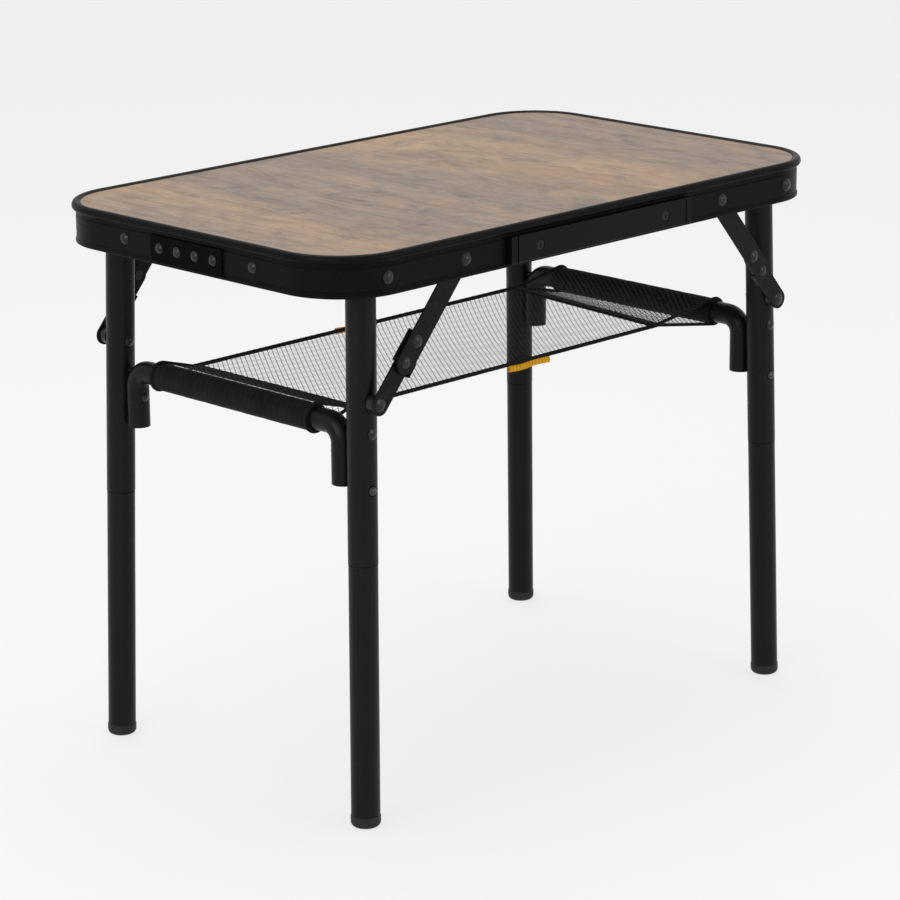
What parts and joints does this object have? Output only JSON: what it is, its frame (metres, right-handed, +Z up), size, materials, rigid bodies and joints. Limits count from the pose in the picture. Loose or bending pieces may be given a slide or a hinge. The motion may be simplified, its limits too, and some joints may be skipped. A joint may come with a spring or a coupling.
{
  "type": "folding camp table",
  "caption": "Small folding camp kitchen table with a wood-print top in a black rim, two folding leg frames with jointed braces, plug-in lower legs and a mesh shelf.",
  "frame": {"origin": "on the floor under the middle of the top", "axes": "+X along the long side, +Y along the short side away from the handle, +Z up"},
  "size_m": [0.5608, 0.3423, 0.451],
  "materials": {
    "wood_board": "printed wood grain, satin",
    "rim_aluminium": "black anodised, satin",
    "splice_steel": "black satin paint",
    "handle_metal": "black satin paint",
    "screw_steel": "black oxide",
    "spacer_plastic": "black nylon",
    "leg_tube": "black powder coat, fine texture",
    "brace_steel": "black satin paint",
    "foot_plastic": "black moulded plastic",
    "button_steel": "dark plated spring steel",
    "rivet_steel": "glossy black rivet heads",
    "net_mesh": "black polyester mesh",
    "binding_tape": "black woven tape",
    "sleeve_fabric": "black woven polyester",
    "tab_fabric": "yellow woven tape"
  },
  "bodies": {
    "tabletop": {"tabletop_board": "wood_board", "rim_frame": "rim_aluminium", "rim_splice_plate": "splice_steel", "rim_splice_rivets": "rivet_steel", "rim_side_rivets": "rivet_steel", "carry_handle": "handle_metal", "handle_screws": "screw_steel", "handle_spacers": "spacer_plastic", "leg_pivot_pins": "rivet_steel", "leg_pivot_bushes": "spacer_plastic", "brace_top_pins": "rivet_steel", "brace_top_spacers": "spacer_plastic", "shelf_net": "net_mesh", "shelf_edge_binding": "binding_tape", "shelf_pull_tabs": "tab_fabric"},
    "left_frame": {"upper_leg_front_left": "leg_tube", "upper_leg_rear_left": "leg_tube", "left_crossbar": "leg_tube", "left_crossbar_rivets": "rivet_steel", "left_shelf_sleeve": "sleeve_fabric", "left_leg_plugs": "foot_plastic", "left_brace_leg_rivets": "rivet_steel"},
    "right_frame": {"upper_leg_front_right": "leg_tube", "upper_leg_rear_right": "leg_tube", "right_crossbar": "leg_tube", "right_crossbar_rivets": "rivet_steel", "right_shelf_sleeve": "sleeve_fabric", "right_leg_plugs": "foot_plastic", "right_brace_leg_rivets": "rivet_steel"},
    "upper_brace_front_left": {"upper_link_front_left": "brace_steel", "knee_rivets_front_left": "rivet_steel"},
    "lower_brace_front_left": {"lower_link_front_left": "brace_steel"},
    "lower_leg_front_left": {"lower_leg_front_left": "leg_tube", "foot_cap_front_left": "foot_plastic", "button_spring_front_left": "button_steel"},
    "button_front_left": {"snap_button_front_left": "button_steel"},
    "upper_brace_rear_left": {"upper_link_rear_left": "brace_steel", "knee_rivets_rear_left": "rivet_steel"},
    "lower_brace_rear_left": {"lower_link_rear_left": "brace_steel"},
    "lower_leg_rear_left": {"lower_leg_rear_left": "leg_tube", "foot_cap_rear_left": "foot_plastic", "button_spring_rear_left": "button_steel"},
    "button_rear_left": {"snap_button_rear_left": "button_steel"},
    "upper_brace_front_right": {"upper_link_front_right": "brace_steel", "knee_rivets_front_right": "rivet_steel"},
    "lower_brace_front_right": {"lower_link_front_right": "brace_steel"},
    "lower_leg_front_right": {"lower_leg_front_right": "leg_tube", "foot_cap_front_right": "foot_plastic", "button_spring_front_right": "button_steel"},
    "button_front_right": {"snap_button_front_right": "button_steel"},
    "upper_brace_rear_right": {"upper_link_rear_right": "brace_steel", "knee_rivets_rear_right": "rivet_steel"},
    "lower_brace_rear_right": {"lower_link_rear_right": "brace_steel"},
    "lower_leg_rear_right": {"lower_leg_rear_right": "leg_tube", "foot_cap_rear_right": "foot_plastic", "button_spring_rear_right": "button_steel"},
    "button_rear_right": {"snap_button_rear_right": "button_steel"}
  },
  "joints": [
    {"name": "left_frame_fold", "type": "hinge", "parent": "tabletop", "child": "left_frame", "pos_m": [-0.228, 0, 0.432], "axis": [0, -1, 0], "range_deg": [0, 91.4], "deforming": ["shelf_net", "shelf_edge_binding", "shelf_pull_tabs"]},
    {"name": "right_frame_fold", "type": "hinge", "parent": "tabletop", "child": "right_frame", "pos_m": [0.228, 0, 0.432], "axis": [0, -1, 0], "range_deg": [-91.4, 0], "deforming": ["shelf_net", "shelf_edge_binding", "shelf_pull_tabs"]},
    {"name": "brace_top_front_left", "type": "hinge", "parent": "tabletop", "child": "upper_brace_front_left", "pos_m": [-0.1468, -0.1612, 0.432], "axis": [0, -1, 0], "range_deg": [0, 130.53]},
    {"name": "brace_knee_front_left", "type": "hinge", "parent": "upper_brace_front_left", "child": "lower_brace_front_left", "pos_m": [-0.19404, -0.159, 0.37664], "axis": [0, -1, 0], "range_deg": [-180.1, 0]},
    {"name": "lower_leg_slide_front_left", "type": "slide", "parent": "left_frame", "child": "lower_leg_front_left", "axis": [0.0244, 0.0182, 0.9995], "range_m": [-0.078, 0], "deforming": ["snap_button_front_left", "button_spring_front_left"]},
    {"name": "button_press_front_left", "type": "slide", "parent": "lower_leg_front_left", "child": "button_front_left", "axis": [-0.0002, 0.9998, -0.0182], "range_m": [0, 0.003], "stiffness_N_per_m": 900, "springref_m": -0.002, "deforming": ["button_spring_front_left"]},
    {"name": "brace_top_rear_left", "type": "hinge", "parent": "tabletop", "child": "upper_brace_rear_left", "pos_m": [-0.1468, 0.1612, 0.432], "axis": [0, -1, 0], "range_deg": [0, 130.53]},
    {"name": "brace_knee_rear_left", "type": "hinge", "parent": "upper_brace_rear_left", "child": "lower_brace_rear_left", "pos_m": [-0.19404, 0.159, 0.37664], "axis": [0, -1, 0], "range_deg": [-180.1, 0]},
    {"name": "lower_leg_slide_rear_left", "type": "slide", "parent": "left_frame", "child": "lower_leg_rear_left", "axis": [0.0244, -0.0182, 0.9995], "range_m": [-0.078, 0], "deforming": ["snap_button_rear_left", "button_spring_rear_left"]},
    {"name": "button_press_rear_left", "type": "slide", "parent": "lower_leg_rear_left", "child": "button_rear_left", "axis": [-0.0002, -0.9998, -0.0182], "range_m": [0, 0.003], "stiffness_N_per_m": 900, "springref_m": -0.002, "deforming": ["button_spring_rear_left"]},
    {"name": "brace_top_front_right", "type": "hinge", "parent": "tabletop", "child": "upper_brace_front_right", "pos_m": [0.1468, -0.1612, 0.432], "axis": [0, -1, 0], "range_deg": [-130.53, 0]},
    {"name": "brace_knee_front_right", "type": "hinge", "parent": "upper_brace_front_right", "child": "lower_brace_front_right", "pos_m": [0.19404, -0.159, 0.37664], "axis": [0, -1, 0], "range_deg": [0, 180.1]},
    {"name": "lower_leg_slide_front_right", "type": "slide", "parent": "right_frame", "child": "lower_leg_front_right", "axis": [0.0244, -0.0182, -0.9995], "range_m": [0, 0.078], "deforming": ["snap_button_front_right", "button_spring_front_right"]},
    {"name": "button_press_front_right", "type": "slide", "parent": "lower_leg_front_right", "child": "button_front_right", "axis": [0.0002, 0.9998, -0.0182], "range_m": [0, 0.003], "stiffness_N_per_m": 900, "springref_m": -0.002, "deforming": ["button_spring_front_right"]},
    {"name": "brace_top_rear_right", "type": "hinge", "parent": "tabletop", "child": "upper_brace_rear_right", "pos_m": [0.1468, 0.1612, 0.432], "axis": [0, -1, 0], "range_deg": [-130.53, 0]},
    {"name": "brace_knee_rear_right", "type": "hinge", "parent": "upper_brace_rear_right", "child": "lower_brace_rear_right", "pos_m": [0.19404, 0.159, 0.37664], "axis": [0, -1, 0], "range_deg": [0, 180.1]},
    {"name": "lower_leg_slide_rear_right", "type": "slide", "parent": "right_frame", "child": "lower_leg_rear_right", "axis": [0.0244, 0.0182, -0.9995], "range_m": [0, 0.078], "deforming": ["snap_button_rear_right", "button_spring_rear_right"]},
    {"name": "button_press_rear_right", "type": "slide", "parent": "lower_leg_rear_right", "child": "button_rear_right", "axis": [0.0002, -0.9998, -0.0182], "range_m": [0, 0.003], "stiffness_N_per_m": 900, "springref_m": -0.002, "deforming": ["button_spring_rear_right"]}
  ],
  "couplings": [
    {"joint": "brace_top_front_left", "follows": "left_frame_fold", "ratio": 1.4276},
    {"joint": "brace_knee_front_left", "follows": "left_frame_fold", "ratio": -1.9694},
    {"joint": "brace_top_rear_left", "follows": "left_frame_fold", "ratio": 1.4276},
    {"joint": "brace_knee_rear_left", "follows": "left_frame_fold", "ratio": -1.9694},
    {"joint": "brace_top_front_right", "follows": "right_frame_fold", "ratio": 1.4276},
    {"joint": "brace_knee_front_right", "follows": "right_frame_fold", "ratio": -1.9694},
    {"joint": "brace_top_rear_right", "follows": "right_frame_fold", "ratio": 1.4276},
    {"joint": "brace_knee_rear_right", "follows": "right_frame_fold", "ratio": -1.9694}
  ]
}
